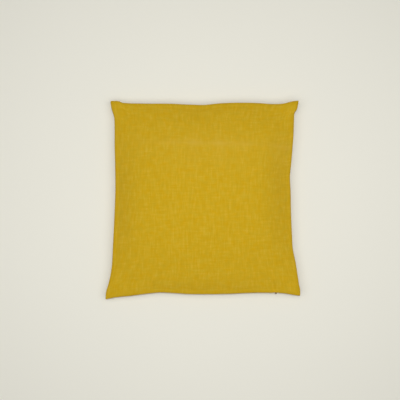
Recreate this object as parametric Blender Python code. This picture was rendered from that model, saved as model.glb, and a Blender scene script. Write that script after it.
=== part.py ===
"""Square linen pillow lying on its back.

A knife-edge cover is filled to a soft crown. Its four seams draw inwards between the
corners, and the end of a concealed zip shows in the seam along -Y. Sizes are in
millimetres and the mesh is in metres; +Z is up and the pillow rests on Z = 0.
"""

import math

import bmesh
import bpy
import numpy as np

MM = 0.001

LINEN_COLOUR = (0.571, 0.366, 0.014)
LINEN_ROUGHNESS = 0.92
BRASS_COLOUR = (0.110, 0.070, 0.030)
BRASS_ROUGHNESS = 0.45

# Corners of the outline: plan position and height of the seam there.
CORNERS = {
    "back_left": (-231.3, 248.4, 30.0),
    "back_right": (239.0, 248.1, 45.0),
    "front_right": (243.3, -238.6, 37.0),
    "front_left": (-243.3, -248.4, 30.0),
}

# Each side runs from the first corner to the second. Columns of the drawn-in shape:
# share of the side, inset from the straight line between the corners.
SIDES = {
    "front": ("front_left", "front_right", (
        (0.00, 0.0), (0.04, 4.3), (0.13, 8.6), (0.22, 13.6), (0.28, 15.8), (0.34, 14.2),
        (0.42, 11.0), (0.52, 9.4), (0.64, 9.1), (0.75, 10.4), (0.84, 9.8), (0.92, 7.4),
        (0.96, 3.4), (1.00, 0.0),
    )),
    "right": ("front_right", "back_right", (
        (0.00, 0.0), (0.035, 0.2), (0.05, 2.2), (0.10, 6.0), (0.17, 11.0), (0.24, 17.8),
        (0.32, 19.8), (0.44, 21.8), (0.54, 22.2), (0.61, 23.6), (0.67, 20.6), (0.75, 16.8),
        (0.84, 13.4), (0.925, 11.6), (0.940, 10.9), (0.949, 6.2), (0.975, 2.6), (1.00, 0.0),
    )),
    "back": ("back_left", "back_right", (
        (0.00, 0.0), (0.049, 0.8), (0.060, 4.6), (0.09, 6.0), (0.17, 7.3), (0.33, 8.0),
        (0.42, 10.1), (0.50, 10.8), (0.58, 7.1), (0.70, 5.4), (0.79, 6.4), (0.87, 8.7),
        (0.92, 7.5), (0.96, 2.6), (1.00, 0.0),
    )),
    "left": ("front_left", "back_left", (
        (0.00, 0.0), (0.04, 1.5), (0.08, 7.0), (0.13, 12.2), (0.18, 15.0), (0.26, 16.3),
        (0.38, 17.9), (0.56, 19.1), (0.67, 17.2), (0.80, 14.1), (0.87, 13.2), (0.92, 11.0),
        (0.96, 4.1), (1.00, 0.0),
    )),
}

# Height of the seam between the corners, how soon it is reached from them, and the
# share of a side past which a corner no longer lifts or lowers it.
SEAM_LEVEL = 40.5
SEAM_LEVEL_REACH = 0.45
CORNER_SHARE = 0.5

# Crown of the two panels over the seam, and the turn towards the surface below.
FRONT_CROWN = 50.0
BACK_CROWN = 51.0
CROWN_POWER = 2.6
CONTACT_BLEND = 5.0

# Square patch on which the pillow rests: its half width as a share of half of the
# panel, and how high the cloth past it stays at least, so that its corners carry.
PATCH_SHARE = 0.41
PATCH_CLEARANCE = 0.3

# Seam: the crease beside it, and across it the fin of folded allowance, whose outer
# edge hangs lower by its droop. Columns of the fin: share of its width from the
# crease, half of its thickness.
FIN_WIDTH = 8.5
FIN_DROOP = 2.4
FIN_SECTION = ((0.00, 1.7), (0.30, 1.95), (0.76, 1.9), (0.95, 1.3))

# Gathers beside each seam. Columns: waves along the side, phase, height.
GATHERS = {
    "front": (9.0, 0.4, 1.5),
    "right": (8.0, 1.3, 1.3),
    "back": (10.0, 2.1, 1.6),
    "left": (8.0, 0.2, 1.2),
}
GATHER_REACH = 30.0

# Soft fold across the upper panel. Columns: X, Y of its ridge.
FOLD_LINE = ((-240.0, 146.0), (-60.0, 142.0), (50.0, 139.0), (240.0, 129.0))
FOLD_HEIGHT = 1.5
FOLD_HALF_WIDTH = 14.0
FOLD_HALF_LENGTH = 170.0

# Mesh lines across each panel, how much closer they stand near the seams, and the
# room beside the closer lines at the zip, as a share of the step between those.
LINES_ACROSS = 38
LINE_CROWDING = 0.6
ZIP_LINE_ROOM = 0.6

# Zip end: its place along X, the slot that holds the slider, the parting of the lips
# in front of it, and the stretch over which its stiff tape keeps the fin from drooping.
ZIP_X = 183.0
SLOT_WIDTH = 6.0
SLOT_HEIGHT = 3.2
SLOT_DEPTH = 7.0
LIP_PARTING = 1.2
LIP_HALF_WIDTH = 7.0
STIFF_HALF_WIDTH = 20.0
DIMPLE_DEPTH = 2.2
DIMPLE_REACH = 9.0
ZIP_LINE_OFFSETS = (-10.0, -6.0, -3.0, 0.0, 3.0, 6.0, 10.0)

# Slider, and the post and head on which the pull hangs.
SLIDER_WIDTH = 5.2
SLIDER_HEIGHT = 2.4
SLIDER_DEPTH = 6.6
SLIDER_OVERHANG = 0.4
SLIDER_BEVEL = 0.5
POST_RADIUS = 0.6
POST_LENGTH = 2.1
HEAD_RADIUS = 1.5
HEAD_LENGTH = 0.6

# Pull: a drop-shaped tab that hangs by its eyelet on the post.
PULL_WIDTH = 4.8
PULL_LENGTH = 14.0
PULL_THICKNESS = 1.1
PULL_TOP_RADIUS = 1.9
PULL_TAPER = 0.6
EYELET_RADIUS = 0.95
PULL_STANDOFF = 0.4
HANGING_GAP = 0.32
ROUND_STEPS = 24

OVERLAP = 0.4
CUTTER_EXCESS = 6.0


def clear_scene():
    for thing in list(bpy.data.objects):
        bpy.data.objects.remove(thing)


def material(name, colour, roughness, metallic):
    made = bpy.data.materials.new(name)
    made.use_nodes = True
    shader = made.node_tree.nodes["Principled BSDF"]
    shader.inputs["Base Color"].default_value = (*colour, 1.0)
    shader.inputs["Roughness"].default_value = roughness
    shader.inputs["Metallic"].default_value = metallic
    return made


def add_object(name, vertices, faces, look):
    mesh = bpy.data.meshes.new(name)
    mesh.from_pydata([tuple(float(value) * MM for value in point) for point in vertices], [], faces)
    mesh.materials.append(look)
    made = bpy.data.objects.new(name, mesh)
    bpy.context.scene.collection.objects.link(made)
    outward = bmesh.new()
    outward.from_mesh(mesh)
    bmesh.ops.recalc_face_normals(outward, faces=outward.faces)
    outward.to_mesh(mesh)
    outward.free()
    return made


def combine(body, other, operation):
    """Cut another closed body from this one or join it on, and remove the other."""
    step = body.modifiers.new(operation, "BOOLEAN")
    step.operation = operation
    step.solver = "EXACT"
    step.object = other
    bpy.context.view_layer.objects.active = body
    with bpy.context.temp_override(object=body):
        bpy.ops.object.modifier_apply(modifier=step.name)
    bpy.data.objects.remove(other)


def eased(rows, share):
    """Smooth curve through the rows of (position, value) at the given shares."""
    position = np.array([row[0] for row in rows])
    value = np.array([row[1] for row in rows])
    slope = np.gradient(value, position)
    steps = np.abs(np.diff(value) / np.diff(position))
    steepest = 3.0 * np.minimum(steps[:-1], steps[1:])
    slope[1:-1] = np.clip(slope[1:-1], -steepest, steepest)
    index = np.clip(np.searchsorted(position, share, "right") - 1, 0, len(position) - 2)
    width = position[index + 1] - position[index]
    step = (share - position[index]) / width
    rise = step * step * (3.0 - 2.0 * step)
    start = step * (1.0 - step) ** 2 * width * slope[index]
    end = step * step * (step - 1.0) * width * slope[index + 1]
    return value[index] * (1.0 - rise) + value[index + 1] * rise + start + end


def side_frame(side):
    """Start, run and inward direction of one side in plan."""
    first, second, _ = SIDES[side]
    start = np.array(CORNERS[first][:2])
    run = np.array(CORNERS[second][:2]) - start
    inward = np.array((-run[1], run[0])) / np.linalg.norm(run)
    if side in ("back", "left"):
        inward = -inward
    return start, run, inward


def side_points(side, share, fin):
    """Seam line of one side in plan, moved inwards by the width of the fin."""
    start, run, inward = side_frame(side)
    margin = fin / np.linalg.norm(run)
    along = margin + share * (1.0 - 2.0 * margin)
    inset = eased(SIDES[side][2], share) + fin
    return start + along[:, None] * run + inset[:, None] * inward


def seam_level(across, along):
    """Height of the seams and of the surface between them: even but for the four corners."""
    level = np.full(np.broadcast(across, along).shape, SEAM_LEVEL)
    for name, corner in CORNERS.items():
        x = across if name.endswith("left") else 1.0 - across
        y = along if name.startswith("front") else 1.0 - along
        away = np.minimum(np.hypot(x, y), CORNER_SHARE)
        reach = (4.0 * away * (1.0 - away)) ** SEAM_LEVEL_REACH
        level += (corner[2] - SEAM_LEVEL) * (1.0 - reach)
    return level


def line_shares(extra):
    """Shares of the mesh lines, crowded towards both seams, with the extra lines added."""
    even = np.linspace(0.0, 1.0, LINES_ACROSS + 1)
    crowded = even - LINE_CROWDING * np.sin(2.0 * math.pi * even) / (2.0 * math.pi)
    if not extra:
        return crowded
    room = (extra[1] - extra[0]) * ZIP_LINE_ROOM
    kept = [share for share in crowded if share < extra[0] - room or share > extra[-1] + room]
    return np.array(sorted(kept + list(extra)))


def patch(across, along, fin):
    """Surface spanned between the four seam lines."""
    front = side_points("front", across, fin)[None, :, :]
    back = side_points("back", across, fin)[None, :, :]
    left = side_points("left", along, fin)[:, None, :]
    right = side_points("right", along, fin)[:, None, :]
    u = across[None, :, None]
    v = along[:, None, None]
    ruled = (1 - v) * front + v * back + (1 - u) * left + u * right
    ends = (1 - v) * ((1 - u) * front[:, :1] + u * front[:, -1:])
    ends = ends + v * ((1 - u) * back[:, :1] + u * back[:, -1:])
    return np.dstack((ruled - ends, seam_level(across[None, :], along[:, None])))


def crown(share):
    return 1.0 - np.abs(2.0 * share - 1.0) ** CROWN_POWER


def gathers(u, v, size):
    """Small ripples that run in from the seams and fade."""
    total = np.zeros(np.broadcast(u, v).shape)
    sides = (("front", v, u), ("back", 1 - v, u), ("left", u, v), ("right", 1 - u, v))
    for side, depth, share in sides:
        waves, phase, height = GATHERS[side]
        distance = depth * size
        ripple = np.sin(2.0 * math.pi * waves * share + phase)
        swell = (distance / GATHER_REACH) * np.exp(1.0 - distance / GATHER_REACH)
        total = total + height * ripple * swell * crown(share)
    return total


def fold(x, y):
    ridge = np.interp(x, [row[0] for row in FOLD_LINE], [row[1] for row in FOLD_LINE])
    across = np.exp(-((y - ridge) / FOLD_HALF_WIDTH) ** 2)
    along = np.exp(-(x / FOLD_HALF_LENGTH) ** 4)
    return FOLD_HEIGHT * across * along


def rested(level):
    """Heights kept at or above the floor, with a soft turn into the flat patch."""
    soft = (level + CONTACT_BLEND) ** 2 / (4.0 * CONTACT_BLEND)
    blended = np.where(level < CONTACT_BLEND, soft, level)
    return np.where(level < -CONTACT_BLEND, 0.0, blended)


def zip_edge():
    """Plan position and height of the seam's outer edge at the zip."""
    left = CORNERS["front_left"][0]
    right = CORNERS["front_right"][0]
    share = (ZIP_X - left) / (right - left)
    plan = side_points("front", np.array((share,)), 0.0)[0]
    return (plan[0], plan[1], float(seam_level(share, 0.0))), share


def near_zip(x, reach):
    """1 at the zip, falling smoothly to 0 at the given reach to either side."""
    away = np.minimum(np.abs(x - ZIP_X) / reach, 1.0)
    return np.cos(away * math.pi / 2.0) ** 2


def ring_indices(rows, columns):
    """Border of a grid, anticlockwise from the front left corner."""
    front = [(0, column) for column in range(columns)]
    right = [(row, columns - 1) for row in range(1, rows)]
    back = [(rows - 1, column) for column in range(columns - 2, -1, -1)]
    left = [(row, 0) for row in range(rows - 2, 0, -1)]
    return front + right + back + left


def build_cushion(look):
    edge, zip_share = zip_edge()
    width = CORNERS["front_right"][0] - CORNERS["front_left"][0]
    extra = [zip_share + offset / width for offset in ZIP_LINE_OFFSETS]
    across = line_shares(extra)
    along = line_shares([])
    crease = patch(across, along, FIN_WIDTH)
    outer = patch(across, along, 0.0)
    u = across[None, :]
    v = along[:, None]
    bulge = crown(u) * crown(v)
    half_crease = FIN_SECTION[0][1]

    upper = crease.copy()
    upper[:, :, 2] += half_crease + FRONT_CROWN * bulge + gathers(u, v, width)
    upper[:, :, 2] += fold(upper[:, :, 0], upper[:, :, 1]) * np.minimum(bulge * 2.0, 1.0)
    near = np.hypot(upper[:, :, 0] - ZIP_X, upper[:, :, 1] - edge[1] - FIN_WIDTH)
    upper[:, :, 2] -= DIMPLE_DEPTH * np.exp(-(near / DIMPLE_REACH) ** 2) * (bulge > 0)

    lower = crease.copy()
    lower[:, :, 2] -= half_crease + BACK_CROWN * bulge + gathers(u, v, width)
    carried = np.maximum(np.abs(2.0 * u - 1.0), np.abs(2.0 * v - 1.0)) < PATCH_SHARE
    lower[:, :, 2] = np.where(carried, 0.0, np.maximum(rested(lower[:, :, 2]), PATCH_CLEARANCE))

    rows, columns = len(along), len(across)
    border = ring_indices(rows, columns)
    vertices = list(upper.reshape(-1, 3)) + list(lower.reshape(-1, 3))
    grid = rows * columns

    loops = [[row * columns + column for row, column in border]]
    section = list(FIN_SECTION[1:])
    profile = section + [(1.0, 0.0)] + [(share, -half) for share, half in reversed(section)]
    for share, half in profile:
        loop = []
        for row, column in border:
            point = crease[row, column] * (1.0 - share) + outer[row, column] * share
            droop = FIN_DROOP * share
            lips = 0.0
            if row == 0:
                droop *= 1.0 - near_zip(point[0], STIFF_HALF_WIDTH)
                lips = LIP_PARTING * near_zip(point[0], LIP_HALF_WIDTH) * share
            lift = half + math.copysign(lips, half) * (half != 0.0) - droop
            loop.append(len(vertices))
            vertices.append(point + np.array((0.0, 0.0, lift)))
        loops.append(loop)
    loops.append([grid + row * columns + column for row, column in border])

    faces = []
    for row in range(rows - 1):
        for column in range(columns - 1):
            a = row * columns + column
            corners = (a, a + 1, a + 1 + columns, a + columns)
            faces.append(corners)
            faces.append(tuple(grid + index for index in reversed(corners)))
    for first, second in zip(loops, loops[1:]):
        for index in range(len(first)):
            following = (index + 1) % len(first)
            faces.append((first[index], second[index], second[following], first[following]))
    cushion = add_object("cushion", vertices, faces, look)
    mouth = (ZIP_X, edge[1] + SLOT_DEPTH / 2.0 - CUTTER_EXCESS / 2.0, edge[2])
    opening = (SLOT_WIDTH, SLOT_DEPTH + CUTTER_EXCESS, SLOT_HEIGHT)
    cutter = bevelled_box("slot_cutter", mouth, opening, look)
    combine(cushion, cutter, "DIFFERENCE")
    return cushion


def bevelled_box(name, centre, size, look):
    x, y, z = (value / 2.0 for value in size)
    corners = [(i * x, j * y, k * z) for k in (-1, 1) for j in (-1, 1) for i in (-1, 1)]
    vertices = [tuple(a + b for a, b in zip(centre, corner)) for corner in corners]
    faces = [(0, 2, 3, 1), (4, 5, 7, 6), (0, 1, 5, 4), (2, 6, 7, 3), (0, 4, 6, 2), (1, 3, 7, 5)]
    made = add_object(name, vertices, faces, look)
    shape = bmesh.new()
    shape.from_mesh(made.data)
    bmesh.ops.bevel(shape, geom=shape.edges[:], offset=SLIDER_BEVEL * MM, segments=2, affect="EDGES")
    shape.to_mesh(made.data)
    shape.free()
    return made


def rod(name, radius, centre, length, look):
    """Round bar along Y."""
    angles = [2.0 * math.pi * step / ROUND_STEPS for step in range(ROUND_STEPS)]
    vertices = []
    for end in (-length / 2.0, length / 2.0):
        for angle in angles:
            x = centre[0] + radius * math.cos(angle)
            z = centre[2] + radius * math.sin(angle)
            vertices.append((x, centre[1] + end, z))
    faces = [tuple(range(ROUND_STEPS)), tuple(range(ROUND_STEPS, 2 * ROUND_STEPS))]
    for step in range(ROUND_STEPS):
        following = (step + 1) % ROUND_STEPS
        faces.append((step, following, following + ROUND_STEPS, step + ROUND_STEPS))
    return add_object(name, vertices, faces, look)


def build_slider(look):
    edge, _ = zip_edge()
    inner = edge[1] + SLIDER_DEPTH
    outer = edge[1] - SLIDER_OVERHANG
    centre = (ZIP_X, (inner + outer) / 2.0, edge[2])
    slider = bevelled_box("zip_slider", centre, (SLIDER_WIDTH, inner - outer, SLIDER_HEIGHT), look)
    post_middle = outer - POST_LENGTH / 2.0 + OVERLAP / 2.0
    post = rod("post", POST_RADIUS, (ZIP_X, post_middle, edge[2]), POST_LENGTH + OVERLAP, look)
    combine(slider, post, "UNION")
    head_middle = outer - POST_LENGTH - HEAD_LENGTH / 2.0 + OVERLAP / 2.0
    head = rod("head", HEAD_RADIUS, (ZIP_X, head_middle, edge[2]), HEAD_LENGTH, look)
    combine(slider, head, "UNION")
    return slider


def drop_outline(step):
    """Point on the pull's outline, about the middle of its eyelet."""
    angle = 2.0 * math.pi * step / ROUND_STEPS
    down = (1.0 - math.cos(angle)) / 2.0
    half_width = PULL_TOP_RADIUS * math.cos(down * math.pi / 2.0) + PULL_WIDTH / 2.0 * down ** PULL_TAPER
    x = half_width * math.sin(angle)
    z = PULL_TOP_RADIUS - PULL_LENGTH * down
    return x, z


def build_pull(look):
    edge, _ = zip_edge()
    drop = EYELET_RADIUS - POST_RADIUS - HANGING_GAP
    face = edge[1] - SLIDER_OVERHANG - PULL_STANDOFF
    vertices = []
    for y in (face, face - PULL_THICKNESS):
        for step in range(ROUND_STEPS):
            x, z = drop_outline(step)
            vertices.append((ZIP_X + x, y, edge[2] + z - drop))
        for step in range(ROUND_STEPS):
            angle = 2.0 * math.pi * step / ROUND_STEPS
            x = EYELET_RADIUS * math.sin(angle)
            z = EYELET_RADIUS * math.cos(angle)
            vertices.append((ZIP_X + x, y, edge[2] + z - drop))
    faces = []
    layer = 2 * ROUND_STEPS
    for step in range(ROUND_STEPS):
        following = (step + 1) % ROUND_STEPS
        rim = (step, following)
        eyelet = (following + ROUND_STEPS, step + ROUND_STEPS)
        faces.append(rim + eyelet)
        faces.append(tuple(layer + index for index in reversed(rim + eyelet)))
        faces.append((rim[1], rim[0], rim[0] + layer, rim[1] + layer))
        faces.append((eyelet[1], eyelet[0], eyelet[0] + layer, eyelet[1] + layer))
    return add_object("zip_pull", vertices, faces, look)


clear_scene()
linen = material("mustard_linen", LINEN_COLOUR, LINEN_ROUGHNESS, 0.0)
metal = material("dark_brass", BRASS_COLOUR, BRASS_ROUGHNESS, 1.0)
build_cushion(linen)
build_slider(metal)
build_pull(metal)
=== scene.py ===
"""Linen pillow: the sewn and filled cover, its zip end, and the stage that shows them."""

import math

import bpy
import numpy as np
from bpy.props import FloatProperty, FloatVectorProperty, IntProperty, PointerProperty
from bpy.types import Operator, Panel, PropertyGroup
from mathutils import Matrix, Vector, noise


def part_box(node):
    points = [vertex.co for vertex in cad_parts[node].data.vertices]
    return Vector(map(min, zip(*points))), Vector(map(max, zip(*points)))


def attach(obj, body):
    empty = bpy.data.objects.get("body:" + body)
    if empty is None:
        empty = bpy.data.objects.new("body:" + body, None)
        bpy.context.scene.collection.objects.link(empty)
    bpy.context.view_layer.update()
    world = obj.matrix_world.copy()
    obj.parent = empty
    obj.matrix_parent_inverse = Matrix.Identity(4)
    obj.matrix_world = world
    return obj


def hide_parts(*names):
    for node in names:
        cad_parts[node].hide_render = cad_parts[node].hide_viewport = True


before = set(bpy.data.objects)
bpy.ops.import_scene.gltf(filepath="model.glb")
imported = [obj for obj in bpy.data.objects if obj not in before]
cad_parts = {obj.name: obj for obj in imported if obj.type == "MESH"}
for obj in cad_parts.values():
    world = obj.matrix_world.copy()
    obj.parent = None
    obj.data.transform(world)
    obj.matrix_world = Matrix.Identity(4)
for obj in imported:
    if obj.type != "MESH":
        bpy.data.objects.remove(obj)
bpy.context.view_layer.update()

bl_info = {
    "name": "Linen pillow",
    "version": (1, 0, 0),
    "blender": (4, 5, 0),
    "location": "View3D > Sidebar > Pillow",
    "description": "Sews, fills and lights a knife-edge linen pillow with a concealed zip",
    "category": "Object",
}

MM = 0.001

# Corners of the outline in millimetres: plan position and height of the seam there.
CORNERS = {
    "back_left": (-231.3, 248.4, 30.0),
    "back_right": (239.0, 248.1, 45.0),
    "front_right": (243.3, -238.6, 37.0),
    "front_left": (-243.3, -248.4, 30.0),
}

# Each side runs from the first corner to the second. Columns: share of the side,
# inset in millimetres from the straight line between the corners.
SIDES = {
    "front": ("front_left", "front_right", (
        (0.00, 0.0), (0.04, 4.3), (0.13, 8.6), (0.22, 13.6), (0.28, 15.8), (0.34, 14.2),
        (0.42, 11.0), (0.52, 9.4), (0.64, 9.1), (0.75, 10.4), (0.84, 9.8), (0.92, 7.4),
        (0.96, 3.4), (1.00, 0.0),
    )),
    "right": ("front_right", "back_right", (
        (0.00, 0.0), (0.035, 0.2), (0.05, 2.2), (0.10, 6.0), (0.17, 11.0), (0.24, 17.8),
        (0.32, 19.8), (0.44, 21.8), (0.54, 22.2), (0.61, 23.6), (0.67, 20.6), (0.75, 16.8),
        (0.84, 13.4), (0.925, 11.6), (0.940, 10.9), (0.949, 6.2), (0.975, 2.6), (1.00, 0.0),
    )),
    "back": ("back_left", "back_right", (
        (0.00, 0.0), (0.049, 0.8), (0.060, 4.6), (0.09, 6.0), (0.17, 7.3), (0.33, 8.0),
        (0.42, 10.1), (0.50, 10.8), (0.58, 7.1), (0.70, 5.4), (0.79, 6.4), (0.87, 8.7),
        (0.92, 7.5), (0.96, 2.6), (1.00, 0.0),
    )),
    "left": ("front_left", "back_left", (
        (0.00, 0.0), (0.04, 1.5), (0.08, 7.0), (0.13, 12.2), (0.18, 15.0), (0.26, 16.3),
        (0.38, 17.9), (0.56, 19.1), (0.67, 17.2), (0.80, 14.1), (0.87, 13.2), (0.92, 11.0),
        (0.96, 4.1), (1.00, 0.0),
    )),
}

# Height of the seam between the corners, how soon it is reached from them, and the share
# of a side past which a corner no longer lifts or lowers it.
SEAM_LEVEL = 40.5 * MM
SEAM_LEVEL_REACH = 0.45
CORNER_SHARE = 0.5

# Form of the crown over the seam, the lower crown as a share of the upper one, and the
# soft turn into the patch that rests on the floor.
CROWN_POWER = 2.6
BACK_CROWN_SHARE = 0.98
CONTACT_BLEND = 5.0 * MM
FLOOR_CLEARANCE = 0.2 * MM

# Filling: how far the flat panels are parted at first, the height under which the lower
# one is pressed to the floor, and the share of the blown form kept at the seam and inside.
FIRST_PARTING = 6.0 * MM
PRESSED_HEIGHT = 14.0 * MM
KEPT_AT_SEAM = 0.03
KEPT_INSIDE = 0.62

# Ground under the cloth while it fills, and how far the cloth stays off it.
GROUND_SIZE = 2.0
CLOTH_DISTANCE = 2.0 * MM

# A vertex whose share of the panel is this close to 0 or 1 lies on the seam.
ON_SEAM = 1e-4

# Rows of the fin from the crease outwards: share of its width, half thickness in mm.
FIN_ROWS = ((0.30, 1.95), (0.76, 1.9), (1.12, 1.1))
FIN_DROOP = 2.4 * MM

# Waver of the fin's height. Columns: noise cells per metre, seed, height.
FIN_WAVERS = ((38.0, 5.0, 1.1 * MM), (90.0, 6.0, 0.4 * MM))

# Soft fold across the upper panel. Columns: X, Y of its ridge in millimetres.
FOLD_LINE = ((-240.0, 146.0), (-60.0, 142.0), (50.0, 139.0), (170.0, 136.0), (240.0, 124.0))

# Half widths of its narrow ridge, and of its swell before and past the ridge; how much of
# the swell counts in its height and in its paler band, part wear and part painted highlight.
RIDGE_HALF_WIDTH = 6.5 * MM
SWELL_BEFORE = 60.0 * MM
SWELL_PAST = 34.0 * MM
SWELL_HEIGHT_SHARE = 0.4
SWELL_WEAR_AND_HIGHLIGHT_SHARE = 0.45

# Strength of the fold along X. Columns: strength, X of its middle, half length, power.
FOLD_RUNS = ((0.4, 0.0, 180.0, 4), (0.6, 10.0, 75.0, 2), (0.7, 200.0, 24.0, 2))
FOLD_UNEVENNESS = 0.8
FOLD_NOISE = (34.0, 7.0)

# Noise of the filling's lumps and of the puckers beside the seam. Columns: cells per
# metre, seed, strength.
LUMPS = ((9.0, 1.0, 1.0), (21.0, 2.0, 0.5))
PUCKERS = ((55.0, 3.0, 1.0), (110.0, 4.0, 0.6))

# Distance in the noise between the two panels, so that their puckers differ.
NOISE_PARTING = 0.5

# Distances from the seam at which the puckers are highest, and past which the fold and
# the lumps have their full height; height over the floor at which the cloth is free.
PUCKER_REACH = 10.0 * MM
FOLD_STARTS = 30.0 * MM
FREE_HEIGHT = 20.0 * MM

# Creases that fan out from each corner: how many, phase, height in millimetres.
CORNER_CREASES = {
    "back_left": (2.5, 0.6, 0.7),
    "back_right": (2.0, 2.4, 1.1),
    "front_right": (3.0, 1.2, 0.9),
    "front_left": (2.0, 0.2, 0.8),
}

# Zip end: the dimple over it, the parting of the lips, the stretch that its tape keeps
# from drooping, and the pocket for the slider.
ZIP_X = (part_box("zip_slider")[0][0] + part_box("zip_slider")[1][0]) / 2.0
DIMPLE_DEPTH = 2.5 * MM
DIMPLE_REACH = 8.0 * MM
DIMPLE_INSET = 3.0 * MM
LIP_PARTING = 1.6 * MM
LIP_REACH = 8.0 * MM
STIFF_REACH = 20.0 * MM
POCKET_HALF_WIDTH = 6.2 * MM
POCKET_DEPTH = 6.5 * MM
POCKET_TAPER = (0.8, 1.0, 0.6)

# Reach of the painted crease shade, a deeper colour, from the stitched crease, on the panel and on
# the fin.
CREASE_SHADE_PANEL = 7.0 * MM
CREASE_SHADE_FIN = 4.0 * MM

# How far the two panels lie apart on the map of the cloth, in metres.
PANEL_SPACING = 0.7

# Weave: how often and how far its yarns waver, and the streaks of thick yarn in the warp
# and in the weft, each with the factor and the offset of its unevenness.
WAVERS_PER_METRE = 160.0
YARN_WAVER = (0.6 * MM, 0.6 * MM, 0.0)
WARP_STREAKS = ((420.0, 34.0, 1.0), (190.0, 32.0, 1.0))
WARP_UNEVENNESS = (0.65, -0.15)
WEFT_STREAKS = ((30.0, 420.0, 1.0), (28.0, 190.0, 1.0))
WEFT_UNEVENNESS = (0.42, 0.08)

# How strongly the yarns, the painted shade between them and the fold's paler band, partly wear and
# partly painted highlight, tint the linen.
SLUB_TINT = 0.58
THIN_TINT = 0.39
SHADE_TINT = 0.35
FOLD_WEAR_AND_HIGHLIGHT_TINT = 0.40

# Painted shade, as deeper colour all over and beside the crease, of a single panel and of the double
# fin.
PANEL_PAINTED_SHADE = (0.0, 0.04)
FIN_PAINTED_SHADE = (0.34, -0.30)

# Sockets of Blender's mix node when it mixes colours.
MIX_SHARE = 0
MIX_FIRST = 6
MIX_SECOND = 7
MIX_RESULT = 2

# Dark brass of the zip, and its rubbed spots.
BRASS_DARK = (0.150, 0.092, 0.038, 1.0)
BRASS_RUBBED = (0.260, 0.168, 0.070, 1.0)

# Stage: places of the lights and of the camera, and the floor.
SOFT_LIGHT_PLACE = (0.03, -0.07, 1.75)
STRAIGHT_LIGHT_PLACE = (0.0, 0.16, 2.6)
STRAIGHT_LIGHT_SIZE = 0.16
CAMERA_X = -6.8 * MM
CAMERA_Y = 0.6 * MM
SENSOR_WIDTH = 36.0
FLOOR_SIZE = 30.0
FLOOR_CLOUDS_PER_METRE = 3.0
FLOOR_DULLING = 0.985


class PillowCover(PropertyGroup):
    """Sizes of the cover and of its filling."""

    cut_width: FloatProperty(
        name="Cut width", description="Panel between the side seams, laid flat",
        default=0.449, min=0.3, max=0.8, subtype="DISTANCE", unit="LENGTH")
    cut_length: FloatProperty(
        name="Cut length", description="Panel between the front and back seams, laid flat",
        default=0.479, min=0.3, max=0.8, subtype="DISTANCE", unit="LENGTH")
    fin_width: FloatProperty(
        name="Fin width", description="Folded seam allowance that stands out round the edge",
        default=0.0085, min=0.002, max=0.02, subtype="DISTANCE", unit="LENGTH")
    crease_gap: FloatProperty(
        name="Crease thickness", description="Thickness of the cloth at the stitched crease",
        default=0.0034, min=0.001, max=0.006, subtype="DISTANCE", unit="LENGTH")
    crown: FloatProperty(
        name="Crown", description="Height of the upper panel over the seam",
        default=0.052, min=0.02, max=0.15, subtype="DISTANCE", unit="LENGTH")
    fullness: FloatProperty(
        name="Fullness", description="Pressure of the filling on the panels",
        default=110.0, min=0.0, max=500.0)
    cells: IntProperty(
        name="Cells", description="Mesh cells across each panel", default=96, min=16, max=160)
    settle_frames: IntProperty(
        name="Settling time", description="Frames over which the cover is drawn in and settles",
        default=30, min=10, max=80)
    ease_reach: FloatProperty(
        name="Eased edge", description="Distance from the seam over which the panels rise evenly",
        default=0.085, min=0.01, max=0.3, subtype="DISTANCE", unit="LENGTH")
    fold_height: FloatProperty(
        name="Fold height", description="Height of the soft fold across the upper panel",
        default=0.0010, min=0.0, max=0.01, subtype="DISTANCE", unit="LENGTH")
    lump_height: FloatProperty(
        name="Filling lumps", description="Height of the slow unevenness of the filling",
        default=0.0014, min=0.0, max=0.01, subtype="DISTANCE", unit="LENGTH")
    pucker_height: FloatProperty(
        name="Seam puckers", description="Height of the small gathers beside the seam",
        default=0.0009, min=0.0, max=0.005, subtype="DISTANCE", unit="LENGTH")
    crease_reach: FloatProperty(
        name="Corner creases", description="Distance from a corner at which its creases are highest",
        default=0.032, min=0.005, max=0.1, subtype="DISTANCE", unit="LENGTH")


class PillowLinen(PropertyGroup):
    """Colour and weave of the linen."""

    colour: FloatVectorProperty(
        name="Linen colour", description="Dyed colour of the yarn",
        default=(0.572, 0.345, 0.002), size=3, min=0.0, max=1.0, subtype="COLOR")
    pale: FloatVectorProperty(
        name="Slub colour", description="Paler colour of the thick yarns",
        default=(0.665, 0.454, 0.048), size=3, min=0.0, max=1.0, subtype="COLOR")
    # Deeper colour of the thin yarns, and of the painted shade between the yarns, beside the crease
    # and on the fin.
    deep: FloatVectorProperty(
        name="Shade colour", description="Deeper colour between the yarns",
        default=(0.450, 0.268, 0.001), size=3, min=0.0, max=1.0, subtype="COLOR")
    green: FloatVectorProperty(
        name="Green tinge", description="Slightly greener colour where the dye took unevenly",
        default=(0.545, 0.359, 0.011), size=3, min=0.0, max=1.0, subtype="COLOR")
    # Paler, greyer colour of the band along the fold: partly worn dye, partly painted highlight of
    # the fold's lit ridge.
    brightened: FloatVectorProperty(
        name="Rubbed colour", description="Greyer colour along the fold, where the dye is worn",
        default=(0.600, 0.400, 0.045), size=3, min=0.0, max=1.0, subtype="COLOR")
    yarn_pitch: FloatProperty(
        name="Yarn pitch", description="Distance between neighbouring yarns",
        default=0.0008, min=0.0003, max=0.003, subtype="DISTANCE", unit="LENGTH")
    roughness: FloatProperty(
        name="Roughness", description="Roughness of the cloth", default=0.92, min=0.0, max=1.0)


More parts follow.
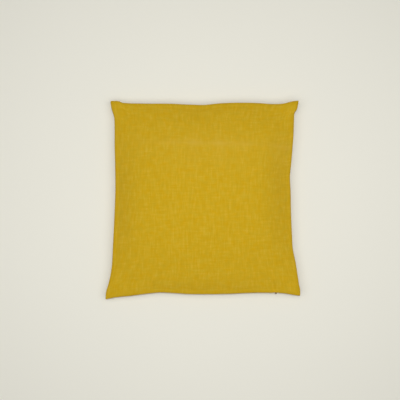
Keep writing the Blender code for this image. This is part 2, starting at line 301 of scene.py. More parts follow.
class PillowStage(PropertyGroup):
    """Floor, light and camera."""

    floor_colour: FloatVectorProperty(
        name="Floor colour", description="Pale matt floor",
        default=(0.800, 0.784, 0.695), size=3, min=0.0, max=1.0, subtype="COLOR")
    soft_power: FloatProperty(
        name="Soft light", description="Power of the wide soft light overhead",
        default=20.5, min=0.0, max=500.0, unit="POWER")
    soft_width: FloatProperty(
        name="Soft light width", description="Length of the soft light along X",
        default=2.5, min=0.2, max=6.0, subtype="DISTANCE", unit="LENGTH")
    soft_depth: FloatProperty(
        name="Soft light depth", description="Length of the soft light along Y",
        default=1.4, min=0.2, max=6.0, subtype="DISTANCE", unit="LENGTH")
    straight_power: FloatProperty(
        name="Straight light", description="Power of the small light beside the camera",
        default=27.0, min=0.0, max=500.0, unit="POWER")
    room_strength: FloatProperty(
        name="Room light", description="Strength of the even light from the room",
        default=0.115, min=0.0, max=3.0)
    camera_height: FloatProperty(
        name="Camera height", description="Height of the camera over the seam",
        default=2.0792, min=0.5, max=6.0, subtype="DISTANCE", unit="LENGTH")
    lens: FloatProperty(
        name="Lens", description="Focal length in millimetres", default=75.0, min=20.0, max=200.0)


def deselect():
    """Leave edit mode and select nothing."""
    if bpy.context.object and bpy.context.object.mode != "OBJECT":
        bpy.ops.object.mode_set(mode="OBJECT")
    bpy.ops.object.select_all(action="DESELECT")


def activate(thing):
    """Select one object alone, as the active one."""
    deselect()
    thing.select_set(True)
    bpy.context.view_layer.objects.active = thing


def read_points(mesh):
    values = np.empty(len(mesh.vertices) * 3, dtype=np.float32)
    mesh.vertices.foreach_get("co", values)
    return values.reshape(-1, 3).astype(float)


def write_points(mesh, points):
    mesh.vertices.foreach_set("co", points.astype(np.float32).ravel())
    mesh.update()


def read_value(mesh, name):
    values = np.empty(len(mesh.vertices), dtype=np.float32)
    mesh.attributes[name].data.foreach_get("value", values)
    return values.astype(float)


def write_value(mesh, name, values):
    layer = mesh.attributes.get(name) or mesh.attributes.new(name, "FLOAT", "POINT")
    layer.data.foreach_set("value", values.astype(np.float32))


def select_faces(panels, wanted):
    """Select only the faces for which wanted(face) is true, and return how many there are."""
    activate(panels)
    bpy.ops.object.mode_set(mode="EDIT")
    bpy.ops.mesh.select_mode(type="FACE")
    bpy.ops.mesh.select_all(action="DESELECT")
    bpy.ops.object.mode_set(mode="OBJECT")
    chosen = [face for face in panels.data.polygons if wanted(face)]
    for face in chosen:
        face.select = True
    return len(chosen)


def eased(rows, share):
    """Smooth curve through the rows of (position, value), without swinging past them."""
    position = np.array([row[0] for row in rows])
    value = np.array([row[1] for row in rows])
    slope = np.gradient(value, position)
    steps = np.abs(np.diff(value) / np.diff(position))
    steepest = 3.0 * np.minimum(steps[:-1], steps[1:])
    slope[1:-1] = np.clip(slope[1:-1], -steepest, steepest)
    index = np.clip(np.searchsorted(position, share, "right") - 1, 0, len(position) - 2)
    width = position[index + 1] - position[index]
    step = (share - position[index]) / width
    rise = step * step * (3.0 - 2.0 * step)
    start = step * (1.0 - step) ** 2 * width * slope[index]
    end = step * step * (step - 1.0) * width * slope[index + 1]
    return value[index] * (1.0 - rise) + value[index + 1] * rise + start + end


def seam_level(across, along):
    """Height of the seams and of the surface between them: even but for the four corners."""
    level = np.full(len(across), SEAM_LEVEL)
    for name, corner in CORNERS.items():
        x = across if name.endswith("left") else 1.0 - across
        y = along if name.startswith("front") else 1.0 - along
        away = np.minimum(np.hypot(x, y), CORNER_SHARE)
        reach = (4.0 * away * (1.0 - away)) ** SEAM_LEVEL_REACH
        level += (corner[2] * MM - SEAM_LEVEL) * (1.0 - reach)
    return level


def seam_line(side, share, fin):
    """Seam of one side in plan, moved inwards by the width of the fin."""
    first, second, rows = SIDES[side]
    start = np.array(CORNERS[first][:2]) * MM
    run = np.array(CORNERS[second][:2]) * MM - start
    inward = np.array((-run[1], run[0])) / np.linalg.norm(run)
    if side in ("back", "left"):
        inward = -inward
    margin = fin / np.linalg.norm(run)
    along = margin + share * (1.0 - 2.0 * margin)
    inset = eased(rows, share) * MM + fin
    return start + along[:, None] * run + inset[:, None] * inward


def cover_points(across, along, fin):
    """Surface spanned between the four seam lines, at the given shares."""
    u = across[:, None]
    v = along[:, None]
    front = seam_line("front", across, fin)
    back = seam_line("back", across, fin)
    left = seam_line("left", along, fin)
    right = seam_line("right", along, fin)
    ends = np.array((0.0, 1.0))
    low = seam_line("front", ends, fin)
    high = seam_line("back", ends, fin)
    corners = (1 - v) * ((1 - u) * low[0] + u * low[1]) + v * ((1 - u) * high[0] + u * high[1])
    plan = (1 - v) * front + v * back + (1 - u) * left + u * right - corners
    return np.column_stack((plan, seam_level(across, along)))


def crown_shape(across, along):
    """1 in the middle of the panel and 0 on the seams."""
    over_width = 1.0 - np.abs(2.0 * across - 1.0) ** CROWN_POWER
    over_length = 1.0 - np.abs(2.0 * along - 1.0) ** CROWN_POWER
    return np.clip(over_width * over_length, 0.0, 1.0)


def rested(level):
    """Heights kept at or above the floor, with a soft turn into the flat patch."""
    soft = (level + CONTACT_BLEND) ** 2 / (4.0 * CONTACT_BLEND)
    blended = np.where(level < CONTACT_BLEND, soft, level)
    return np.where(level < -CONTACT_BLEND, 0.0, blended)


def noise_at(points, scale, seed):
    """Smooth noise of the given cells per metre; each seed reads another part of it."""
    offset = Vector((seed * 7.3, seed * 3.1, seed * 1.7))
    return np.array([noise.noise(Vector(point) * scale + offset) for point in points])


def layered_noise(points, layers):
    """Sum of noises, given as rows of cells per metre, seed and strength."""
    total = np.zeros(len(points))
    for scale, seed, strength in layers:
        total += strength * noise_at(points, scale, seed)
    return total


def cut_panels(cover):
    """Two flat panels joined along their edges by a narrow band."""
    deselect()
    bpy.ops.mesh.primitive_grid_add(
        x_subdivisions=cover.cells, y_subdivisions=cover.cells, size=1.0)
    panels = bpy.context.object
    panels.name = "pillow_cover"
    points = read_points(panels.data)
    write_value(panels.data, "across", points[:, 0] + 0.5)
    write_value(panels.data, "along", points[:, 1] + 0.5)
    write_points(panels.data, points * (cover.cut_width, cover.cut_length, 1.0))
    thicken = panels.modifiers.new("two_layers", "SOLIDIFY")
    thicken.thickness = cover.crease_gap
    thicken.offset = 0.0
    bpy.ops.object.modifier_apply(modifier=thicken.name)
    points = read_points(panels.data)
    write_value(panels.data, "upper", np.where(points[:, 2] > 0.0, 1.0, -1.0))
    return panels


def on_seam(mesh):
    """Which vertices lie on the seams."""
    across = read_value(mesh, "across")
    along = read_value(mesh, "along")
    return np.minimum.reduce((across, 1.0 - across, along, 1.0 - along)) < ON_SEAM


def crowned_points(mesh, cover):
    """Even crown of both panels, the lower one flat where it rests."""
    across, along = read_value(mesh, "across"), read_value(mesh, "along")
    upper = read_value(mesh, "upper")
    points = cover_points(across, along, cover.fin_width)
    rise = cover.crown * crown_shape(across, along)
    half = cover.crease_gap / 2.0
    top = points[:, 2] + half + rise
    bottom = rested(points[:, 2] - half - rise * BACK_CROWN_SHARE)
    points[:, 2] = np.where(upper > 0.0, top, bottom)
    return points


def lay_out_flat(panels, cover):
    """Part the flat panels a little, and key their seam's way in to its lying shape."""
    mesh = panels.data
    across, along = read_value(mesh, "across"), read_value(mesh, "along")
    upper = read_value(mesh, "upper")
    drawn = cover_points(across, along, cover.fin_width)
    drawn[:, 2] += upper * cover.crease_gap / 2.0
    flat = read_points(mesh)
    flat[:, 2] = drawn[:, 2] + upper * FIRST_PARTING * crown_shape(across, along)
    write_points(mesh, flat)
    activate(panels)
    panels.shape_key_add(name="Cut flat")
    drawn_in = panels.shape_key_add(name="Drawn in")
    drawn_in.data.foreach_set("co", drawn.astype(np.float32).ravel())
    drawn_in.value = 0.0
    drawn_in.keyframe_insert("value", frame=1)
    drawn_in.value = 1.0
    drawn_in.keyframe_insert("value", frame=cover.settle_frames // 2)


def lay_ground():
    """Ground that the filling cloth can't pass."""
    deselect()
    bpy.ops.mesh.primitive_plane_add(size=GROUND_SIZE)
    ground = bpy.context.object
    ground.modifiers.new("Collision", "COLLISION")
    ground.collision.thickness_outer = CLOTH_DISTANCE
    ground.collision.cloth_friction = 20.0
    return ground


def make_cloth(panels, cover):
    """Linen under the pressure of its filling, held at the seam."""
    seam = panels.vertex_groups.new(name="seam")
    seam.add([int(index) for index in np.flatnonzero(on_seam(panels.data))], 1.0, "REPLACE")
    cloth = panels.modifiers.new("Cloth", "CLOTH")
    settings = cloth.settings
    settings.quality = 6
    settings.mass = 0.3
    settings.air_damping = 2.0
    settings.tension_stiffness = 60.0
    settings.compression_stiffness = 30.0
    settings.shear_stiffness = 8.0
    settings.bending_stiffness = 2.0
    settings.tension_damping = 15.0
    settings.compression_damping = 15.0
    settings.shear_damping = 15.0
    settings.bending_damping = 2.0
    settings.use_pressure = True
    settings.uniform_pressure_force = cover.fullness
    settings.vertex_group_mass = seam.name
    settings.pin_stiffness = 10.0
    settings.effector_weights.gravity = 0.0
    cloth.collision_settings.use_collision = True
    cloth.collision_settings.distance_min = CLOTH_DISTANCE
    cloth.collision_settings.use_self_collision = False
    cloth.point_cache.frame_start = 1
    cloth.point_cache.frame_end = cover.settle_frames


def fill_by_pressure(panels, cover):
    """Draw the seam in to its lying shape while the filling presses the panels apart."""
    lay_out_flat(panels, cover)
    ground = lay_ground()
    make_cloth(panels, cover)
    for step in range(1, cover.settle_frames + 1):
        bpy.context.scene.frame_set(step)
    settled = panels.evaluated_get(bpy.context.evaluated_depsgraph_get())
    points = read_points(settled.data)
    bpy.context.scene.frame_set(1)
    bpy.data.objects.remove(ground)
    panels.modifiers.clear()
    panels.shape_key_clear()
    panels.vertex_groups.clear()
    if not np.isfinite(points).all():
        raise RuntimeError("the filling burst the cover")
    low = points[:, 2].min()
    near_floor = np.clip((PRESSED_HEIGHT - points[:, 2]) / (PRESSED_HEIGHT - low), 0.0, 1.0)
    points[:, 2] -= (low - FLOOR_CLEARANCE) * near_floor
    write_points(panels.data, points)


def edge_distance(mesh, cover):
    """Distance in cloth from the nearest seam."""
    across, along = read_value(mesh, "across"), read_value(mesh, "along")
    return np.minimum.reduce((
        across * cover.cut_width, (1.0 - across) * cover.cut_width,
        along * cover.cut_length, (1.0 - along) * cover.cut_length))


def ease_edges(mesh, cover):
    """Let the panels leave the seam at the gentle slope of a soft filling."""
    blown = read_points(mesh)
    even = crowned_points(mesh, cover)
    share = np.clip(edge_distance(mesh, cover) / cover.ease_reach, 0.0, 1.0)
    smooth = share * share * (3.0 - 2.0 * share)
    kept = KEPT_AT_SEAM + (KEPT_INSIDE - KEPT_AT_SEAM) * smooth
    points = even + (blown - even) * kept[:, None]
    points[:, 2] = np.maximum(points[:, 2], FLOOR_CLEARANCE)
    write_points(mesh, points)


def vertex_normals(mesh):
    values = np.empty(len(mesh.vertices) * 3, dtype=np.float32)
    mesh.vertices.foreach_get("normal", values)
    return values.reshape(-1, 3).astype(float)


def bell(distance, half_width, power=2):
    """1 at no distance, falling smoothly to nothing past the half width."""
    return np.exp(-(distance / half_width) ** power)


def fold_strength(points):
    """How strong the fold is along its run: two stretches in the middle and one at its end."""
    run = np.zeros(len(points))
    for strength, middle, half_length, power in FOLD_RUNS:
        run += strength * bell(points[:, 0] - middle * MM, half_length * MM, power)
    return run * (1.0 + FOLD_UNEVENNESS * noise_at(points * (1.0, 0.0, 0.0), *FOLD_NOISE))


def add_fold_and_lumps(mesh, cover):
    """Fold across the upper panel, slow lumps of the filling and puckers beside the seam."""
    points = read_points(mesh)
    across, along = read_value(mesh, "across"), read_value(mesh, "along")
    upper = read_value(mesh, "upper")
    edge = edge_distance(mesh, cover)
    inside = np.clip(edge / FOLD_STARTS, 0.0, 1.0)
    line_x = [row[0] * MM for row in FOLD_LINE]
    line_y = [row[1] * MM for row in FOLD_LINE]
    past = points[:, 1] - np.interp(points[:, 0], line_x, line_y)
    ridge = bell(past, RIDGE_HALF_WIDTH)
    swell = bell(past, np.where(past > 0.0, SWELL_PAST, SWELL_BEFORE))
    strength = fold_strength(points) * (upper > 0.0)
    # Share of the paler band along the fold: partly wear, partly painted highlight on its ridge and
    # swell.
    write_value(mesh, "brightened", (ridge + SWELL_WEAR_AND_HIGHLIGHT_SHARE * swell) * strength)
    cloth_place = np.column_stack((
        across * cover.cut_width, along * cover.cut_length, upper * NOISE_PARTING))
    beside = (edge / PUCKER_REACH) * np.exp(1.0 - edge / PUCKER_REACH)
    free = np.where(upper > 0.0, 1.0, np.clip(points[:, 2] / FREE_HEIGHT, 0.0, 1.0))
    lift = cover.lump_height * layered_noise(points, LUMPS) * inside
    lift += cover.pucker_height * layered_noise(cloth_place, PUCKERS) * beside
    lift += corner_creases(across, along, cover)
    lift = lift * free + cover.fold_height * (ridge + SWELL_HEIGHT_SHARE * swell) * strength * inside
    points = points + vertex_normals(mesh) * lift[:, None]
    zip_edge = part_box("zip_slider")[1][1]
    away = np.hypot(points[:, 0] - ZIP_X, points[:, 1] - zip_edge - DIMPLE_INSET)
    points[:, 2] -= DIMPLE_DEPTH * bell(away, DIMPLE_REACH) * (upper > 0.0)
    write_points(mesh, points)


def corner_creases(across, along, cover):
    """Height of the creases that run from the corner tips into the panels."""
    total = np.zeros(len(across))
    for name, (count, phase, height) in CORNER_CREASES.items():
        x = (across if name.endswith("left") else 1.0 - across) * cover.cut_width
        y = (along if name.startswith("front") else 1.0 - along) * cover.cut_length
        away = np.hypot(x, y) / cover.crease_reach
        turn = np.arctan2(y, x) / (math.pi / 2.0)
        fan = np.sin(2.0 * math.pi * count * turn + phase) * np.sin(math.pi * turn)
        total += height * MM * fan * away * np.exp(1.0 - away)
    return total


def near_zip(points, reach):
    """1 at the zip, falling smoothly to 0 at the given reach to either side."""
    away = np.minimum(np.abs(points[:, 0] - ZIP_X) / reach, 1.0)
    return np.cos(away * math.pi / 2.0) ** 2


def sew_fin(panels, cover):
    """Extrude the seam outwards in rows, and open a small pocket in it at the zip."""
    mesh = panels.data
    seam = on_seam(mesh)
    upper = read_value(mesh, "upper")
    write_value(mesh, "fin", np.zeros(len(mesh.vertices)))
    select_faces(panels, lambda face: all(seam[index] for index in face.vertices)
                 and abs(upper[list(face.vertices)].sum()) < 1.0)
    for share, _ in FIN_ROWS:
        extrude_row(panels, share)
    lay_fin(mesh, cover)
    open_pocket(panels)


def extrude_row(panels, share):
    """Extrude the selected band once more and mark its new outer edge with the row's share."""
    bpy.ops.object.mode_set(mode="EDIT")
    bpy.ops.mesh.extrude_region_move()
    bpy.ops.object.mode_set(mode="OBJECT")
    mesh = panels.data
    fin = read_value(mesh, "fin")
    outermost = {index for face in mesh.polygons if face.select for index in face.vertices}
    fin[list(outermost)] = share
    write_value(mesh, "fin", fin)


def lay_fin(mesh, cover):
    """Place each row of the fin between the crease and the outline."""
    points = read_points(mesh)
    across, along = read_value(mesh, "across"), read_value(mesh, "along")
    upper, fin = read_value(mesh, "upper"), read_value(mesh, "fin")
    outward = fin > 0.0
    crease = cover_points(across[outward], along[outward], cover.fin_width)
    outline = cover_points(across[outward], along[outward], 0.0)
    share = fin[outward][:, None]
    placed = crease * (1.0 - share) + outline * share
    row_shares = [row[0] for row in FIN_ROWS]
    half = np.interp(fin[outward], row_shares, [row[1] * MM for row in FIN_ROWS])
    front = along[outward] < ON_SEAM
    half = half + LIP_PARTING * fin[outward] * near_zip(placed, LIP_REACH) * front
    waver = layered_noise(placed, FIN_WAVERS)
    loose = 1.0 - near_zip(placed, STIFF_REACH) * front
    placed[:, 2] += upper[outward] * half + (waver - FIN_DROOP) * fin[outward] * loose
    points[outward] = placed
    write_points(mesh, points)


def open_pocket(panels):
    """Push the outermost faces of the fin inwards at the zip, for its slider."""
    mesh = panels.data
    outermost = read_value(mesh, "fin") > 0.99
    rim = outermost & (read_value(mesh, "along") < ON_SEAM)
    found = select_faces(panels, lambda face: all(rim[index] for index in face.vertices)
                         and abs(face.center.x - ZIP_X) < POCKET_HALF_WIDTH)
    if not found:
        raise RuntimeError("no part of the seam lies at the zip")
    bpy.ops.object.mode_set(mode="EDIT")
    bpy.ops.mesh.extrude_region_move(TRANSFORM_OT_translate={"value": (0.0, POCKET_DEPTH, 0.0)})
    bpy.ops.transform.resize(value=POCKET_TAPER, center_override=(ZIP_X, 0.0, SEAM_LEVEL))
    bpy.ops.object.mode_set(mode="OBJECT")


def outward_from(share):
    """-1 on the seam where the share is 0, 1 on the seam where it is 1, and 0 between them."""
    return (share > 1.0 - ON_SEAM) * 1.0 - (share < ON_SEAM) * 1.0


def lay_cloth_map(mesh, cover):
    """Map in metres of cloth: each panel lies flat, and the fin carries on outwards."""
    across, along = read_value(mesh, "across"), read_value(mesh, "along")
    upper, fin = read_value(mesh, "upper"), read_value(mesh, "fin")
    out = fin * cover.fin_width
    u = across * cover.cut_width + out * outward_from(across)
    v = along * cover.cut_length + out * outward_from(along)
    layer = mesh.uv_layers.get("cloth") or mesh.uv_layers.new(name="cloth")
    mesh.uv_layers.active = layer
    for other in [item for item in mesh.uv_layers if item.name != "cloth"]:
        mesh.uv_layers.remove(other)
    layer = mesh.uv_layers["cloth"]
    for face in mesh.polygons:
        shift = PANEL_SPACING if all(upper[index] < 0.0 for index in face.vertices) else 0.0
        for loop in face.loop_indices:
            index = mesh.loops[loop].vertex_index
            layer.data[loop].uv = (u[index] + shift, v[index])
    write_value(mesh, "seam", seam_closeness(mesh, cover))


def seam_closeness(mesh, cover):
    """1 at the stitched crease, falling to 0 a few millimetres to either side."""
    fin = read_value(mesh, "fin")
    over_panel = edge_distance(mesh, cover) / CREASE_SHADE_PANEL
    over_fin = fin * cover.fin_width / CREASE_SHADE_FIN
    return np.exp(-np.maximum(over_panel, over_fin) ** 2)


def new_material(name):
    """Material with an empty node tree."""
    made = bpy.data.materials.new(name)
    made.use_nodes = True
    made.node_tree.nodes.clear()
    return made


def node(tree, kind, **inputs):
    """Add a node; its inputs are given by name, as values or as sockets to link."""
    made = tree.nodes.new(kind)
    set_inputs(tree, made, inputs)
    return made


def set_inputs(tree, made, inputs):
    """Set or link inputs; an underline in a name stands for a space."""
    for name, value in inputs.items():
        feed(tree, made.inputs[name.replace("_", " ")], value)


def feed(tree, socket, value):
    """Link a socket to an input, or give the input a constant."""
    if isinstance(value, bpy.types.NodeSocket):
        tree.links.new(value, socket)
    else:
        socket.default_value = value


def maths(tree, operation, *values):
    """Result of a maths node on values or sockets."""
    made = tree.nodes.new("ShaderNodeMath")
    made.operation = operation
    for socket, value in zip(made.inputs, values):
        feed(tree, socket, value)
    return made.outputs[0]


def blend(tree, share, first, second):
    """Colour between the first and the second, by the share of the second."""
    made = tree.nodes.new("ShaderNodeMix")
    made.data_type = "RGBA"
    feed(tree, made.inputs[MIX_SHARE], share)
    feed(tree, made.inputs[MIX_FIRST], first)
    feed(tree, made.inputs[MIX_SECOND], second)
    return made.outputs[MIX_RESULT]


def attribute(tree, name):
    """Value that the mesh carries under the given name."""
    made = tree.nodes.new("ShaderNodeAttribute")
    made.attribute_name = name
    return made.outputs["Fac"]


def streak(tree, place, scale):
    """Noise drawn out along one direction: its value at the scaled place."""
    mapping = tree.nodes.new("ShaderNodeMapping")
    mapping.inputs["Scale"].default_value = scale
    tree.links.new(place, mapping.inputs["Vector"])
    pattern = tree.nodes.new("ShaderNodeTexNoise")
    pattern.noise_dimensions = "2D"
    pattern.inputs["Scale"].default_value = 1.0
    pattern.inputs["Detail"].default_value = 2.0
    tree.links.new(mapping.outputs[0], pattern.inputs["Vector"])
    return pattern.outputs["Fac"]


def yarn_thickness(tree, place, streaks, unevenness):
    """Thickness of the yarns that run one way, from a narrow and a broad streak."""
    narrow, broad = [streak(tree, place, scale) for scale in streaks]
    return maths(tree, "MULTIPLY_ADD", maths(tree, "ADD", narrow, broad), *unevenness)


def weave_group():
    """Plain weave of uneven yarns: a height, and shares of thick yarn, thin yarn and shade."""
    group = bpy.data.node_groups.new("slubby_plain_weave", "ShaderNodeTree")
    group.interface.new_socket(name="Place", in_out="INPUT", socket_type="NodeSocketVector")
    group.interface.new_socket(
        name="Yarns per metre", in_out="INPUT", socket_type="NodeSocketFloat")
    for name in ("Height", "Slub", "Thin", "Shade"):
        group.interface.new_socket(name=name, in_out="OUTPUT", socket_type="NodeSocketFloat")
    source = group.nodes.new("NodeGroupInput")
    result = group.nodes.new("NodeGroupOutput")
    place = source.outputs["Place"]
    waver = node(group, "ShaderNodeTexNoise", Vector=place, Scale=WAVERS_PER_METRE, Detail=1.0)
    shift = group.nodes.new("ShaderNodeVectorMath")
    shift.operation = "MULTIPLY_ADD"
    group.links.new(waver.outputs["Color"], shift.inputs[0])
    shift.inputs[1].default_value = YARN_WAVER
    group.links.new(place, shift.inputs[2])
    split = node(group, "ShaderNodeSeparateXYZ", Vector=shift.outputs[0])
    turn = maths(group, "MULTIPLY", source.outputs["Yarns per metre"], math.pi)
    warp = maths(group, "SINE", maths(group, "MULTIPLY", split.outputs[0], turn))
    weft = maths(group, "SINE", maths(group, "MULTIPLY", split.outputs[1], turn))
    crossing = maths(group, "MULTIPLY", warp, weft)
    yarns = maths(group, "ADD", maths(group, "ABSOLUTE", warp), maths(group, "ABSOLUTE", weft))
    over = maths(group, "MULTIPLY_ADD", crossing, 0.5, 0.5)
    under = maths(group, "SUBTRACT", 1.0, over)
    warp_thickness = yarn_thickness(group, place, WARP_STREAKS, WARP_UNEVENNESS)
    weft_thickness = yarn_thickness(group, place, WEFT_STREAKS, WEFT_UNEVENNESS)
    mixed = maths(group, "ADD", maths(group, "MULTIPLY", warp_thickness, over),
                  maths(group, "MULTIPLY", weft_thickness, under))
    slub = node(group, "ShaderNodeMapRange", Value=mixed, From_Min=0.50, From_Max=0.72)
    thin = node(group, "ShaderNodeMapRange", Value=mixed, From_Min=0.50, From_Max=0.28)
    height = maths(group, "MULTIPLY_ADD", yarns, 0.25, maths(group, "MULTIPLY", crossing, 0.25))
    height = maths(group, "ADD", height, maths(group, "MULTIPLY", mixed, 0.9))
    shade = node(group, "ShaderNodeMapRange", Value=yarns, From_Min=0.9, From_Max=0.2)
    group.links.new(height, result.inputs["Height"])
    group.links.new(slub.outputs[0], result.inputs["Slub"])
    group.links.new(thin.outputs[0], result.inputs["Thin"])
    group.links.new(shade.outputs[0], result.inputs["Shade"])
    return group


def linen_material(name, linen, weave, layers, crease):
    """Matt linen, with painted shade: deeper colour all over by the share layers and beside the
    stitching by crease.
    """
    made = new_material(name)
    tree = made.node_tree
    uv = node(tree, "ShaderNodeUVMap")
    uv.uv_map = "cloth"
    cloth = tree.nodes.new("ShaderNodeGroup")
    cloth.node_tree = weave
    set_inputs(tree, cloth, {"Place": uv.outputs[0], "Yarns per metre": 1.0 / linen.yarn_pitch})
    dye = node(tree, "ShaderNodeTexNoise", Vector=uv.outputs[0], Scale=75.0, Detail=2.0)
    greener = node(tree, "ShaderNodeMapRange", Value=dye.outputs["Fac"], From_Min=0.3, From_Max=0.7)
    base = blend(tree, greener.outputs[0], (*linen.colour, 1.0), (*linen.green, 1.0))
    tints = (
        (cloth.outputs["Slub"], SLUB_TINT, linen.pale),
        (cloth.outputs["Thin"], THIN_TINT, linen.deep),
        (cloth.outputs["Shade"], SHADE_TINT, linen.deep),
        # The fold's paler band: partly worn dye, partly painted highlight.
        (attribute(tree, "brightened"), FOLD_WEAR_AND_HIGHLIGHT_TINT, linen.brightened),
    )
    for mask, strength, colour in tints:
        base = blend(tree, maths(tree, "MULTIPLY", mask, strength), base, (*colour, 1.0))
    # Painted shade: deeper colour all over on the fin, and beside the stitched crease.
    painted_shade_share = maths(tree, "MULTIPLY_ADD", attribute(tree, "seam"), crease, layers)
    base = blend(tree, painted_shade_share, base, (*linen.deep, 1.0))
    relief = node(tree, "ShaderNodeBump", Strength=0.55, Distance=0.28 * MM,
                  Height=cloth.outputs["Height"])
    shader = node(tree, "ShaderNodeBsdfPrincipled", Base_Color=base, Normal=relief.outputs[0])
    shader.inputs["Roughness"].default_value = linen.roughness
    shader.inputs["Specular IOR Level"].default_value = 0.2
    shader.inputs["Diffuse Roughness"].default_value = 0.2
    shader.inputs["Sheen Weight"].default_value = 0.06
    shader.inputs["Sheen Roughness"].default_value = 0.5
    output = tree.nodes.new("ShaderNodeOutputMaterial")
    tree.links.new(shader.outputs[0], output.inputs["Surface"])
    return made


class PILLOW_OT_sew_cushion(Operator):
    """Cut, sew and fill the linen cover."""

    bl_idname = "pillow.sew_cushion"
    bl_label = "Sew and fill the cushion"

    def execute(self, context):
        cover = context.scene.pillow_cover
        linen = context.scene.pillow_linen
        panels = cut_panels(cover)
        fill_by_pressure(panels, cover)
        ease_edges(panels.data, cover)
        add_fold_and_lumps(panels.data, cover)
        sew_fin(panels, cover)
        lay_cloth_map(panels.data, cover)
        weave = weave_group()
        panels.data.materials.clear()
        panel_linen = linen_material("linen_panel", linen, weave, *PANEL_PAINTED_SHADE)
        # The fin's copy of the linen carries painted shade all over.
        fin_linen_painted_shade = linen_material("linen_fin_painted_shade", linen, weave, *FIN_PAINTED_SHADE)
        panels.data.materials.append(panel_linen)
        panels.data.materials.append(fin_linen_painted_shade)
        fin = read_value(panels.data, "fin")
        for face in panels.data.polygons:
            face.material_index = int(max(fin[index] for index in face.vertices) > 0.0)
        activate(panels)
        rounding = panels.modifiers.new("rounding", "SUBSURF")
        rounding.levels = 1
        rounding.render_levels = 1
        bpy.ops.object.modifier_apply(modifier=rounding.name)
        bpy.ops.object.shade_smooth()
        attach(panels, "root")
        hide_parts("cushion")
        return {"FINISHED"}


class PILLOW_OT_fit_zip_end(Operator):
    """Give the zip's slider and pull their dark brass."""

    bl_idname = "pillow.fit_zip_end"
    bl_label = "Fit the zip end"

    def execute(self, context):
        brass = dark_brass_material()
        for name in ("zip_slider", "zip_pull"):
            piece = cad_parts[name]
            for slot in piece.material_slots:
                slot.material = brass
        return {"FINISHED"}


def dark_brass_material():
    """Antique brass: dark, worn brighter in small random spots."""
    made = new_material("dark_antique_brass")
    tree = made.node_tree
    place = tree.nodes.new("ShaderNodeTexCoord").outputs["Object"]
    patches = node(tree, "ShaderNodeTexNoise", Vector=place, Scale=900.0, Detail=3.0)
    brightened = node(tree, "ShaderNodeMapRange", Value=patches.outputs["Fac"],
                  From_Min=0.35, From_Max=0.75)
    colour = blend(tree, brightened.outputs[0], BRASS_DARK, BRASS_RUBBED)
    rough = node(tree, "ShaderNodeMapRange", Value=patches.outputs["Fac"], To_Min=0.55, To_Max=0.32)
    grain = node(tree, "ShaderNodeTexNoise", Vector=place, Scale=4200.0, Detail=2.0)
    relief = node(tree, "ShaderNodeBump", Strength=0.3, Distance=0.05 * MM,
                  Height=grain.outputs["Fac"])
    shader = node(tree, "ShaderNodeBsdfPrincipled", Base_Color=colour, Roughness=rough.outputs[0],
                  Normal=relief.outputs[0])
    shader.inputs["Metallic"].default_value = 0.9
    output = tree.nodes.new("ShaderNodeOutputMaterial")
    tree.links.new(shader.outputs[0], output.inputs["Surface"])
    return made


class PILLOW_OT_set_stage(Operator):
    """Lay the floor and set the light and the camera."""

    bl_idname = "pillow.set_stage"
    bl_label = "Set the stage"

    def execute(self, context):
        stage = context.scene.pillow_stage
        lay_floor(stage)
        hang_light(context.scene, stage)
        set_camera(context.scene, stage)
        return {"FINISHED"}


def lay_floor(stage):
    """Wide matt floor with a faint cloudiness."""
    deselect()
    bpy.ops.mesh.primitive_plane_add(size=FLOOR_SIZE)
    floor = bpy.context.object
    floor.name = "pale_floor"
    made = new_material("pale_floor")
    tree = made.node_tree
    place = tree.nodes.new("ShaderNodeTexCoord").outputs["Object"]
    cloud = node(tree, "ShaderNodeTexNoise", Vector=place, Scale=FLOOR_CLOUDS_PER_METRE, Detail=2.0)
    colour = tuple(stage.floor_colour)
    duller = tuple(value * FLOOR_DULLING for value in colour)
    base = blend(tree, cloud.outputs["Fac"], (*colour, 1.0), (*duller, 1.0))
    shader = node(tree, "ShaderNodeBsdfPrincipled", Base_Color=base)
    shader.inputs["Roughness"].default_value = 0.9
    shader.inputs["Specular IOR Level"].default_value = 0.2
    output = tree.nodes.new("ShaderNodeOutputMaterial")
    tree.links.new(shader.outputs[0], output.inputs["Surface"])
    floor.data.materials.append(made)


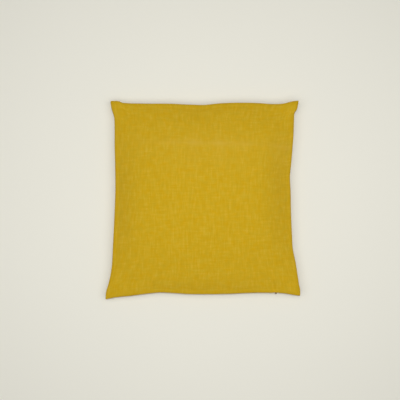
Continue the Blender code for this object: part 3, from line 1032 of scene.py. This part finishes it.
def hang_light(scene, stage):
    """Wide soft light overhead, a small one beside the camera, and even light from the room."""
    soft = bpy.data.lights.new("soft_light", "AREA")
    soft.shape = "ELLIPSE"
    soft.size = stage.soft_width
    soft.size_y = stage.soft_depth
    soft.energy = stage.soft_power
    straight = bpy.data.lights.new("straight_light", "AREA")
    straight.shape = "DISK"
    straight.size = STRAIGHT_LIGHT_SIZE
    straight.energy = stage.straight_power
    for lamp, place in ((soft, SOFT_LIGHT_PLACE), (straight, STRAIGHT_LIGHT_PLACE)):
        hung = bpy.data.objects.new(lamp.name, lamp)
        scene.collection.objects.link(hung)
        hung.location = place
    room = bpy.data.worlds.new("room")
    room.use_nodes = True
    background = room.node_tree.nodes["Background"]
    background.inputs["Color"].default_value = (1.0, 1.0, 1.0, 1.0)
    background.inputs["Strength"].default_value = stage.room_strength
    scene.world = room
    scene.view_settings.view_transform = "Standard"
    scene.view_settings.look = "None"


def set_camera(scene, stage):
    """Camera straight overhead."""
    sensor = bpy.data.cameras.new("overhead_camera")
    sensor.lens = stage.lens
    sensor.sensor_width = SENSOR_WIDTH
    camera = bpy.data.objects.new("overhead_camera", sensor)
    scene.collection.objects.link(camera)
    camera.location = (CAMERA_X, CAMERA_Y, SEAM_LEVEL + stage.camera_height)
    scene.camera = camera


class PILLOW_PT_workshop(Panel):
    """Sizes and colours of the pillow, and the steps that make it."""

    bl_idname = "PILLOW_PT_workshop"
    bl_label = "Linen pillow"
    bl_space_type = "VIEW_3D"
    bl_region_type = "UI"
    bl_category = "Pillow"

    def draw(self, context):
        layout = self.layout
        scene = context.scene
        for settings in (scene.pillow_cover, scene.pillow_linen, scene.pillow_stage):
            for name in settings.__annotations__:
                layout.prop(settings, name)
        for step in STEPS:
            layout.operator(step.bl_idname)


SETTINGS = (PillowCover, PillowLinen, PillowStage)
STEPS = (PILLOW_OT_sew_cushion, PILLOW_OT_fit_zip_end, PILLOW_OT_set_stage)


def register():
    for part in SETTINGS + STEPS + (PILLOW_PT_workshop,):
        bpy.utils.register_class(part)
    bpy.types.Scene.pillow_cover = PointerProperty(type=PillowCover)
    bpy.types.Scene.pillow_linen = PointerProperty(type=PillowLinen)
    bpy.types.Scene.pillow_stage = PointerProperty(type=PillowStage)


def unregister():
    del bpy.types.Scene.pillow_cover
    del bpy.types.Scene.pillow_linen
    del bpy.types.Scene.pillow_stage
    for part in reversed(SETTINGS + STEPS + (PILLOW_PT_workshop,)):
        bpy.utils.unregister_class(part)


def main():
    register()
    bpy.ops.pillow.sew_cushion()
    bpy.ops.pillow.fit_zip_end()
    bpy.ops.pillow.set_stage()


if __name__ == "__main__":
    main()
